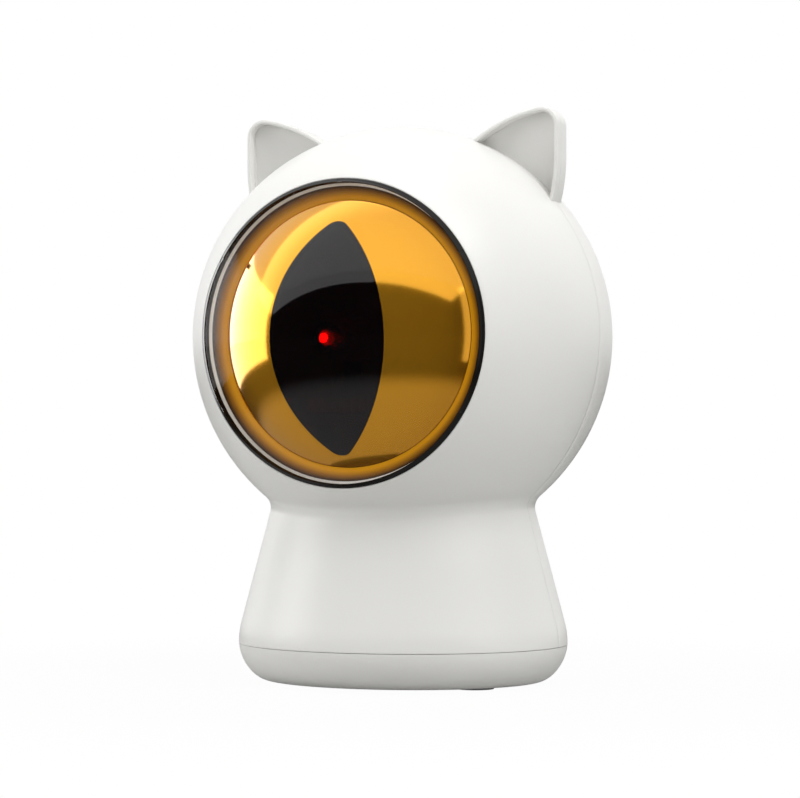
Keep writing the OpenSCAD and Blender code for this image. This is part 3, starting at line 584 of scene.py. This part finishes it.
def make_ring():
    """Eye ring, a profile turned round the eye's axis: face on the ball, step for the dome, cone to the
    iris, and the flange behind the shell. Six short notches are let into the face."""
    face_in, cone_in, bore = EYE_R - RING_FACE, IRIS_RIM + IRIS_PLAY, IRIS_FLANGE_R + IRIS_PLAY
    lens_seat = float(ball_depth(LENS_R, HEAD_R - LENS_T))
    step = float(ball_depth(IRIS_RIM, IRIS_R, IRIS_FORWARD))
    flange, back = step - RING_FLANGE_FRONT, step - RING_FLANGE_BACK
    outer = float(ball_depth(EYE_R, HEAD_R))
    inner = float(ball_depth(face_in, HEAD_R))
    outside = [(EYE_R, back), (EYE_R + RING_FLANGE, back), (EYE_R + RING_FLANGE, flange), (EYE_R, flange),
               (EYE_R, outer - 0.15)]
    face = [(EYE_R - 0.05, outer - 0.03), (EYE_R - 0.16, outer + 0.07), (EYE_R - 0.22, outer + 0.12),
            (face_in + 0.14, inner - 0.1)]
    inside = [(face_in + 0.04, inner - 0.08), (face_in, inner - 0.16), (face_in, lens_seat + 0.05)]
    inside += [(face_in + (cone_in - face_in) * t, lens_seat + (step + 0.05 - lens_seat) * t)
               for t in (0, 0.15, 0.35, 0.6, 0.8, 1)]
    inside += [(cone_in, step - IRIS_STEP), (bore, step - IRIS_STEP), (bore, back)]
    half = math.degrees(NOTCH_HALF / EYE_R)
    edge = half + NOTCH_SIDE
    angles = []
    for tick in range(0, 360, 60):
        angles += [tick - edge, tick - half, tick, tick + half, tick + edge]
        angles += list(np.linspace(tick + edge, tick + 60 - edge, 32)[1:-1])
    angles = np.array(angles) + 90
    points = turned(outside + face + inside, angles=np.radians(angles))
    notch = np.abs(angles % 60 - 30) < (half + edge) / 2
    points[len(outside):len(outside + face), notch, 2] -= NOTCH_DEEP
    return smooth(piece("eye_ring", [(on_eye(points), True, True)]), 30)


def make_dome():
    """Clear dome: a ball's cap with a second ball's surface LENS_T inside it."""
    edge = math.asin(LENS_R / HEAD_R)
    outside = [(HEAD_R * math.sin(a), HEAD_R * math.cos(a)) for a in np.linspace(0, edge, 60)]
    inner_r = HEAD_R - LENS_T
    edge_in = math.asin((LENS_R - 0.1) / inner_r)
    inside = [(inner_r * math.sin(a), inner_r * math.cos(a)) for a in np.linspace(edge_in, 0, 60)]
    return smooth(piece("eye_dome", [(turned(outside + inside, place=on_eye), False, True)]), 30)


def pupil_line(grow):
    """The slit's outline from the eye's axis: two long arcs that touch round tips, PUPIL_DROP below it."""
    wide, tip = PUPIL_HALF + grow, PUPIL_TIP + grow
    tip_at = PUPIL_TALL - PUPIL_TIP
    r = (tip_at ** 2 + wide ** 2 - tip ** 2) / (2 * (wide - tip))
    half = math.degrees(math.atan2(tip_at, r - wide))
    parts = [arc((wide - r, 0), r, -half, half, 48), arc((0, tip_at), tip, half, 180 - half, 16),
             arc((r - wide, 0), r, 180 - half, 180 + half, 48),
             arc((0, -tip_at), tip, 180 + half, 360 - half, 16)]
    return np.concatenate([part[:-1] for part in parts]) - np.array([0, PUPIL_DROP])


def on_iris(line, ball_r):
    """Puts points (x, height) on a ball about the iris's centre, as seen along the eye's axis."""
    return np.column_stack([line, ball_depth(np.hypot(*line.T), ball_r, IRIS_FORWARD)])


def make_iris():
    """Amber iris: rows run from the slit's outline to the rim on the ball, down the rim to the clamped
    flange, and back on the ball's inner side."""
    line = pupil_line(PUPIL_GAP)
    bearing = np.arctan2(line[:, 1] / PUPIL_TALL, line[:, 0] / PUPIL_HALF)
    away = np.stack([np.cos(bearing), np.sin(bearing)], -1)
    seat = float(ball_depth(IRIS_RIM, IRIS_R, IRIS_FORWARD)) - IRIS_STEP
    back = seat - IRIS_T
    inner_r = IRIS_R - IRIS_T
    inner_rim = math.sqrt(inner_r ** 2 - (back - IRIS_FORWARD) ** 2)

    def level(r, depth):
        return np.column_stack([away * r, np.full(len(line), depth)])

    outside = [on_iris(line + (away * IRIS_RIM - line) * t, IRIS_R) for t in np.linspace(0, 1, 30)]
    edge = [level(IRIS_RIM, seat), level(IRIS_FLANGE_R, seat), level(IRIS_FLANGE_R, back)]
    inside = [on_iris(line + (away * inner_rim - line) * t, inner_r) for t in np.linspace(1, 0, 20)]
    return smooth(piece("iris", [(on_eye(np.array(outside + edge + inside)), True, True)]), 30)


def make_pupil():
    """Smoked window in the slit: the ball's surface inside the outline, IRIS_T thick."""
    line = pupil_line(0)
    middle = np.array([0, -PUPIL_DROP])
    shares = np.linspace(0, 1, 16)
    outside = [on_iris(middle + (line - middle) * t, IRIS_R) for t in shares]
    inside = [on_iris(middle + (line - middle) * t, IRIS_R - IRIS_T) for t in shares[::-1]]
    return smooth(piece("pupil", [(on_eye(np.array(outside + inside)), False, True)]), 30)


def make_glow():
    """Lit spot in front of the laser's lens, a little to the left of its middle: a small bulb,
    r = radius sin a, rising from its back."""
    radius, long, aside, clear = 0.95, 0.4, 0.8, 0.05
    lens_front = cad("laser_lens")[0][1]
    profile = [(radius * math.sin(a), long * (1 - math.cos(a)) / 2) for a in np.linspace(0, math.pi, 12)]
    x, z, rise = np.moveaxis(turned(profile, 32), -1, 0)
    placed = np.stack([x - aside, lens_front - clear - rise, middle_z("laser_lens") + z], -1)
    return smooth(piece("laser_spot", [(placed, False, True)]), 60)


# ---------- shader helper ----------


class Shade:
    """One output socket of a shader node. Arithmetic on it adds Math nodes."""

    def __init__(self, tree, socket=None):
        self.tree, self.socket = tree, socket

    def node(self, kind, settings=None, inputs=None, out=0):
        """Adds a node: its settings first, a ramp's stops among them, then its sockets' values or links."""
        made = self.tree.nodes.new("ShaderNode" + kind)
        for name, value in (settings or {}).items():
            if name == "stops":
                ramp = made.color_ramp
                while len(ramp.elements) < len(value):
                    ramp.elements.new(1)
                for element, (at, colour) in zip(ramp.elements, value):
                    element.position, element.color = at, (*colour, 1)
            else:
                setattr(made, name, value)
        for key, value in (inputs or {}).items():
            socket = made.inputs[key]
            if isinstance(value, Shade):
                self.tree.links.new(value.socket, socket)
            else:
                socket.default_value = value
        return Shade(self.tree, made.outputs[out])

    def maths(self, operation, *values):
        return self.node("Math", {"operation": operation}, dict(enumerate(values)))

    def __add__(self, other):
        return self.maths("ADD", self, other)

    def __sub__(self, other):
        return self.maths("SUBTRACT", self, other)

    def __rsub__(self, other):
        return self.maths("SUBTRACT", other, self)

    def __mul__(self, other):
        return self.maths("MULTIPLY", self, other)

    def __truediv__(self, other):
        return self.maths("DIVIDE", self, other)

    def __pow__(self, other):
        return self.maths("POWER", self, other)

    def __gt__(self, other):
        return self.maths("GREATER_THAN", self, other)

    __radd__, __rmul__ = __add__, __mul__

    def between(self, low, high):
        """0 at low to 1 at high, smooth and held beyond them."""
        settings = {"interpolation_type": "SMOOTHSTEP"}
        return self.node("MapRange", settings, {"Value": self, "From Min": low, "From Max": high})

    def mix(self, first, second):
        """Colour that goes from first to second as this value goes from 0 to 1."""
        return self.node("Mix", {"data_type": "RGBA"}, {0: self, 6: first, 7: second}, out=2)

    def output(self, which):
        """Another output of the same node."""
        return Shade(self.tree, self.socket.node.outputs[which])

    def split(self):
        """The x, y and z of this vector."""
        x = self.node("SeparateXYZ", None, {0: self})
        return x, x.output(1), x.output(2)


def rgb(red, green, blue):
    """A colour socket's four values."""
    return (red, green, blue, 1.0)


def place_in(tree):
    """Object coordinates, which are the object's own frame in metres."""
    return Shade(tree).node("TexCoord", out=3)


def noise(tree, scale, detail=2.0, roughness=0.5, stretch=None):
    """Noise of a number of waves per metre over Object coordinates, about 0.5 in the middle."""
    place = place_in(tree)
    if stretch:
        place = place.node("Mapping", None, {"Vector": place, "Scale": stretch})
    sockets = {"Vector": place, "Scale": scale, "Detail": detail, "Roughness": roughness}
    return place.node("TexNoise", None, sockets)


def bump(height, strength, distance):
    """Normal from a height, distance in metres."""
    return height.node("Bump", None, {"Strength": strength, "Distance": distance, "Height": height})


def blank(owner):
    """Empties the nodes of a new material or world and gives their tree."""
    owner.use_nodes = True
    owner.node_tree.nodes.clear()
    return owner.node_tree


def show(tree, shader, kind="Material"):
    """Links a shader to a new output."""
    tree.links.new(shader.socket, tree.nodes.new("ShaderNodeOutput" + kind).inputs["Surface"])


def material(name, shade):
    """A material that shows the shader which shade(tree) returns."""
    made = bpy.data.materials.new(name)
    tree = blank(made)
    show(tree, shade(tree))
    return made


def principled(name, build):
    """A material whose Principled sockets take what build(tree) returns."""
    return material(name, lambda tree: Shade(tree).node("BsdfPrincipled", None, build(tree)))


def moulded(name, colour, rough, grain, depth, gloss=0.5, drift=0.02):
    """Moulded plastic: fine mould texture in the bump, and slow drifts in tone and in gloss."""
    def build(tree):
        slow = noise(tree, 55.0)
        fine = noise(tree, grain, 3.0)
        darker = rgb(*[c * (1 - 2 * drift) for c in colour])
        return {"Base Color": slow.mix(darker, rgb(*colour)),
                "Roughness": fine * 0.08 + slow * 0.05 + (rough - 0.065),
                "Normal": bump(fine, 0.25, depth * MM), "Specular IOR Level": gloss}
    return principled(name, build)


def metal(name, colour, rough, stretch):
    """Machined metal: streaks drawn out along the machining in roughness and bump, and a drift in tone."""
    def build(tree):
        streaks = noise(tree, 900.0, 4.0, 0.6, stretch)
        slow = noise(tree, 120.0)
        dull = rgb(*[c * 0.82 for c in colour])
        return {"Base Color": slow.mix(dull, rgb(*colour)), "Metallic": 1.0,
                "Roughness": streaks * 0.22 + (rough - 0.11), "Normal": bump(streaks, 0.15, 0.004 * MM)}
    return principled(name, build)


def rubber():
    """Soft grey rubber with a chalky bloom in patches."""
    def build(tree):
        fine = noise(tree, 1800.0, 4.0, 0.65)
        bloom = noise(tree, 160.0, 3.0).between(0.45, 0.8)
        return {"Base Color": bloom.mix(rgb(0.34, 0.34, 0.33), rgb(0.44, 0.435, 0.42)),
                "Roughness": bloom * 0.15 + 0.7, "Normal": bump(fine, 0.4, 0.03 * MM)}
    return principled("foot_rubber", build)


def from_axis(tree):
    """Distance from the eye's axis in millimetres."""
    x, _, z = place_in(tree).split()
    up = z - HEAD_Z * MM
    return (x * x + up * up) ** 0.5 / MM


# The ring's colours from the foot of its cone out to its face, and how far from the axis they begin and end
RING_STOPS = [(0.0, (0.95, 0.46, 0.015)), (0.28, (0.85, 0.38, 0.012)), (0.5, (0.38, 0.15, 0.008)),
              (0.68, (0.08, 0.035, 0.006)), (0.82, (0.012, 0.009, 0.006)), (1.0, (0.008, 0.007, 0.006))]
RING_FROM = 25.0
RING_TO = 29.0


def eye_black():
    """Ring, black outside and running through dark amber to the iris's colour down its cone."""
    def build(tree):
        away = from_axis(tree)
        share = away.node("MapRange", None, {"Value": away, "From Min": RING_FROM, "From Max": RING_TO})
        colours = away.node("ValToRGB", {"stops": RING_STOPS}, {0: share})
        fine = noise(tree, 1500.0, 3.0)
        return {"Base Color": colours, "Roughness": fine * 0.06 + 0.2, "Normal": bump(fine, 0.1, 0.004 * MM),
                "Specular IOR Level": 0.25}
    return principled("eye_black", build)


def iris_amber():
    """Lacquered metallic amber: flakes too small to see singly, and a slow drift of tone out from the eye's
    axis."""
    def build(tree):
        away = from_axis(tree).between(8.0, 25.5)
        flakes = noise(tree, 5200.0, 2.0, 0.7).between(0.35, 0.7)
        tone = away.mix(rgb(0.93, 0.43, 0.022), rgb(0.90, 0.40, 0.016))
        return {"Base Color": (flakes * 0.25).mix(tone, rgb(0.98, 0.52, 0.05)), "Metallic": 0.78,
                "Roughness": flakes * 0.05 + 0.09, "Normal": bump(flakes, 0.05, 0.002 * MM),
                "Coat Weight": 0.25, "Coat Roughness": 0.05}
    return principled("iris_amber", build)


def clear_dome():
    """Thin clear dome: a weak mirror of strength 0.4 c^7 + 0.004, where c rises to 1 at grazing angles, and
    none close to the dome's edge."""
    def shade(tree):
        start = Shade(tree)
        facing = start.node("LayerWeight", None, {"Blend": 0.5}, out=1)
        inside = 1 - from_axis(tree).between(LENS_R - 0.25, LENS_R - 0.1)
        share = (facing ** 7.0 * 0.4 + 0.004) * inside
        clear = start.node("BsdfTransparent", None, {"Color": rgb(0.99, 0.99, 0.985)})
        polish = noise(tree, 300.0) * 0.02 + 0.03
        mirror = start.node("BsdfPrincipled", None, {"Base Color": rgb(1, 1, 1), "Metallic": 1.0,
                                                     "Roughness": polish})
        return start.node("MixShader", None, {0: share, 1: clear, 2: mirror})
    return material("clear_dome", shade)


def pupil_smoke():
    """Smoked window: gloss black on its outer face, which lets a tenth through, tinted red, and nearly all
    clear on its inner face, so that the lit laser shows."""
    def shade(tree):
        start = Shade(tree)
        wipe = noise(tree, 90.0)
        black = start.node("BsdfPrincipled", None, {
            "Base Color": wipe.mix(rgb(0.0008, 0.0008, 0.001), rgb(0.0015, 0.0015, 0.0018)),
            "Roughness": wipe * 0.03 + 0.03, "Specular IOR Level": 0.55})
        smoke = start.node("BsdfTransparent", None, {"Color": rgb(1.0, 0.2, 0.15)})
        middle = (0, -IRIS_FORWARD * MM, HEAD_Z * MM)
        away = start.node("VectorMath", {"operation": "DISTANCE"}, {0: place_in(tree), 1: middle}, out=1)
        inner = away.between((IRIS_R - IRIS_T * 0.4) * MM, (IRIS_R - IRIS_T * 0.6) * MM)
        return start.node("MixShader", None, {0: inner * 0.9 + 0.1, 1: black, 2: smoke})
    return material("pupil_smoke", shade)


def laser_red():
    """The lit spot, a small even red light."""
    def build(tree):
        return {"Base Color": rgb(0.9, 0.05, 0.03), "Roughness": noise(tree, 800.0) * 0.2 + 0.3,
                "Emission Color": rgb(1.0, 0.03, 0.02), "Emission Strength": 12.0}
    return principled("laser_red", build)


def clear_part(name, colour, opacity, rough):
    """Clear moulded plastic with faint flow marks."""
    def build(tree):
        flow = noise(tree, 400.0, 3.0)
        return {"Base Color": flow.mix(rgb(*[c * 0.94 for c in colour]), rgb(*colour)), "Alpha": opacity,
                "Roughness": flow * 0.06 + rough, "Normal": bump(flow, 0.08, 0.004 * MM)}
    return principled(name, build)


def board_green():
    """Circuit board under its mask: darker where a copper plane lies below, and faint runs of copper."""
    def build(tree):
        plane = noise(tree, 260.0, 1.0).between(0.48, 0.52)
        weave = noise(tree, 2500.0, 2.0)
        at = place_in(tree)
        tracks = at.node("TexWave", {"wave_type": "BANDS", "bands_direction": "X"},
                         {"Vector": at, "Scale": 260.0, "Distortion": 2.0}, out=1)
        runs = tracks.between(0.8, 0.9) * plane
        base = plane.mix(rgb(0.008, 0.10, 0.035), rgb(0.012, 0.16, 0.055))
        return {"Base Color": runs.mix(base, rgb(0.05, 0.28, 0.1)), "Roughness": weave * 0.1 + 0.3,
                "Normal": bump(runs + weave * 0.2, 0.2, 0.03 * MM)}
    return principled("board_green", build)


# Height above the floor of the band on a cell, in millimetres
CELL_BAND_Z = 38.0


def cell_wrap():
    """Printed wrap of a battery cell, plain, with a band of another tone round its top."""
    def build(tree):
        band = place_in(tree).split()[2] > CELL_BAND_Z * MM
        tone = band.mix(rgb(0.03, 0.12, 0.26), rgb(0.62, 0.62, 0.6))
        wear = noise(tree, 500.0, 4.0)
        return {"Base Color": (wear * 0.2).mix(tone, rgb(0.3, 0.33, 0.38)), "Roughness": wear * 0.1 + 0.28,
                "Metallic": band * 0.6}
    return principled("cell_wrap", build)


SHELL_COLOUR = (0.83, 0.825, 0.80)
FINISHES = {
    "shell_white": moulded("shell_white", SHELL_COLOUR, rough=0.36, grain=620.0, depth=0.010, drift=0.008),
    "eye_black": eye_black(),
    "clear_dome": clear_dome(),
    "iris_amber": iris_amber(),
    "pupil_smoke": pupil_smoke(),
    "foot_rubber": rubber(),
    "steel": metal("steel", (0.62, 0.62, 0.63), 0.3, (1, 1, 8)),
    "motor_can": metal("motor_can", (0.55, 0.55, 0.54), 0.34, (1, 1, 0.1)),
    "brass": metal("brass", (0.72, 0.5, 0.2), 0.26, (1, 1, 6)),
    "gear_white": moulded("gear_white", (0.78, 0.77, 0.7), rough=0.42, grain=900.0, depth=0.01),
    "frame_grey": moulded("frame_grey", (0.36, 0.37, 0.38), rough=0.5, grain=800.0, depth=0.02,
                          gloss=0.45, drift=0.04),
    "cell_wrap": cell_wrap(),
    "board_green": board_green(),
    "part_black": moulded("part_black", (0.025, 0.025, 0.027), rough=0.45, grain=900.0, depth=0.015,
                          drift=0.1),
    "lamp_clear": clear_part("lamp_clear", (0.9, 0.92, 0.95), 0.55, 0.12),
    "lens_red": clear_part("lens_red", (0.9, 0.08, 0.05), 0.85, 0.05),
}


def finish_nodes():
    """Every CAD node that stays shown takes its slot's finish."""
    for row in frame["record"]["subparts"]:
        node = nodes[row["node"]]
        for held in node.material_slots:
            held.material = FINISHES[row["material_slot"]]


def mount(made, body, slot, *replaced, finish=None):
    """Gives a new piece its finish, its body and the nodes that it stands for."""
    made.data.materials.clear()
    made.data.materials.append(finish or FINISHES[slot])
    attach(made, body)
    if replaced:
        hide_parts(*replaced)
    return made


finish_nodes()
front = mount(make_shell("head_front", -1), "housing", "shell_white", "front_shell")
mount(make_shell("head_back", 1), "housing", "shell_white", "back_shell")
mount(make_base_cap(), "housing", "shell_white", "base_cap")
mount(make_button(), "power_button", "shell_white", "power_button")
ring = mount(make_ring(), "housing", "eye_black", "eye_bezel")
dome = mount(make_dome(), "housing", "clear_dome", "dome_lens")
iris = mount(make_iris(), "housing", "iris_amber", "iris_shell")
pupil = mount(make_pupil(), "housing", "pupil_smoke", "pupil_window")
mount(make_glow(), "laser_head", "lens_red", finish=laser_red())
# The iris mirrors the studio right up to its rim, and not the ring, dome and shell close round it
ring.visible_glossy = dome.visible_glossy = front.visible_glossy = False

# ---------- floor, lamps and world ----------

# What the lamps look at, in metres
TOY = (0, 0, 0.06)

# Softboxes: bearing from the camera's side in degrees, positive to its right, height angle, distance in
# metres, width, height, radiance, and where there is one a shift sideways in metres. The eye has boxes of
# its own, which show in its mirror surfaces.
BODY_BOXES = {
    "top": (0, 85, 1.0, 0.5, 0.5, 3.6),
    "high": (34, 50, 1.0, 0.5, 0.5, 5.4),
    "right": (48, 12, 1.0, 0.5, 0.5, 0.9),
    "left": (-88, 14, 1.0, 0.5, 0.5, 3.8),
    "behind": (-130, 12, 1.0, 0.5, 0.5, 0.8),
}
EYE_BOXES = {
    "above": (-15, 71, 0.75, 4.05, 1.11, 1.15, -0.875),
    "left": (-124, 7, 0.3, 0.4, 0.185, 2.7),
    "right": (48, 8, 0.22, 0.026, 0.17, 0.9),
}
SOFT_LEVEL = 0.54
FLOOR_HALF = 6.0


def panel(name, lit, bearing, rise, away, wide, tall, radiance, aside=0.0):
    """Softbox: an area lamp whose power, pi x area x radiance, gives that radiance. It lights one group."""
    data = bpy.data.lights.new(name, "AREA")
    data.shape = "RECTANGLE"
    data.size, data.size_y = wide, tall
    data.energy = math.pi * wide * tall * radiance
    lamp = bpy.data.objects.new(name, data)
    turn, rise = math.radians(CAMERA_TURN + bearing), math.radians(rise)
    across = math.cos(rise)
    middle = Vector((math.sin(turn) * across, -math.cos(turn) * across, math.sin(rise))) * away
    aim = (-middle).to_track_quat("-Z", "Y")
    lamp.location = middle + Vector(TOY) + aim @ Vector((aside, 0, 0))
    lamp.rotation_euler = aim.to_euler()
    lamp.visible_camera = False
    lamp.light_linking.receiver_collection = lit
    bpy.context.scene.collection.objects.link(lamp)


def light_scene(eye):
    """All softboxes: one set for the eye's pieces and one for everything else."""
    for name, boxes, chosen in (("eye_light", EYE_BOXES, True), ("body_light", BODY_BOXES, False)):
        lit = bpy.data.collections.new(name)
        for made in bpy.data.objects:
            if made.type == "MESH" and (made in eye) == chosen:
                lit.objects.link(made)
        for box, values in boxes.items():
            panel(box, lit, *values)


def make_world():
    """White to the camera. Mirrors see white behind the toy and dark in front, and all other light has one
    soft level."""
    world = bpy.data.worlds.new("studio")
    bpy.context.scene.world = world
    tree = blank(world)
    start = Shade(tree)
    path = start.node("LightPath")
    camera, glossy = path.output("Is Camera Ray"), path.output("Is Glossy Ray")
    x, y, _ = start.node("TexCoord", out=0).split()
    turn = math.radians(CAMERA_TURN)
    behind = (y * math.cos(turn) - x * math.sin(turn)).between(-0.05, 0.45)
    level = glossy * (behind * 0.95 + 0.01) + (1 - glossy) * SOFT_LEVEL
    level = camera + (1 - camera) * level
    show(tree, start.node("Background", None, {"Color": rgb(1, 1, 1), "Strength": level}), "World")


def floor_white():
    """The camera sees the floor white with the toy's faint shadow, and mirrors see it grey near the toy."""
    def shade(tree):
        start = Shade(tree)
        path = start.node("LightPath")
        camera, glossy = path.output("Is Camera Ray"), path.output("Is Glossy Ray")
        x, y, _ = place_in(tree).split()
        away = (x * x + y * y) ** 0.5
        near = 1 - away.between(0.11, 0.17)
        plain = away.between(0.06, 0.16) * 0.03 + 0.97
        pale = start.node("BsdfDiffuse", None, {"Color": rgb(0.5, 0.5, 0.49)})
        strength = camera + glossy * (near * 0.33 + 0.02)
        white = start.node("Emission", None, {"Color": rgb(1, 1, 1), "Strength": strength})
        return start.node("MixShader", None, {0: camera * plain + glossy, 1: pale, 2: white})
    return material("floor", shade)


def make_floor():
    """Wide pale floor."""
    mesh = bpy.data.meshes.new("floor")
    corners = [(x * FLOOR_HALF, y * FLOOR_HALF, 0) for x, y in ((-1, -1), (1, -1), (1, 1), (-1, 1))]
    mesh.from_pydata(corners, [], [(0, 1, 2, 3)])
    mesh.materials.append(floor_white())
    floor = bpy.data.objects.new("floor", mesh)
    bpy.context.scene.collection.objects.link(floor)


make_world()
make_floor()
light_scene([ring, dome, iris, pupil])
bpy.context.scene.view_settings.view_transform = "Standard"
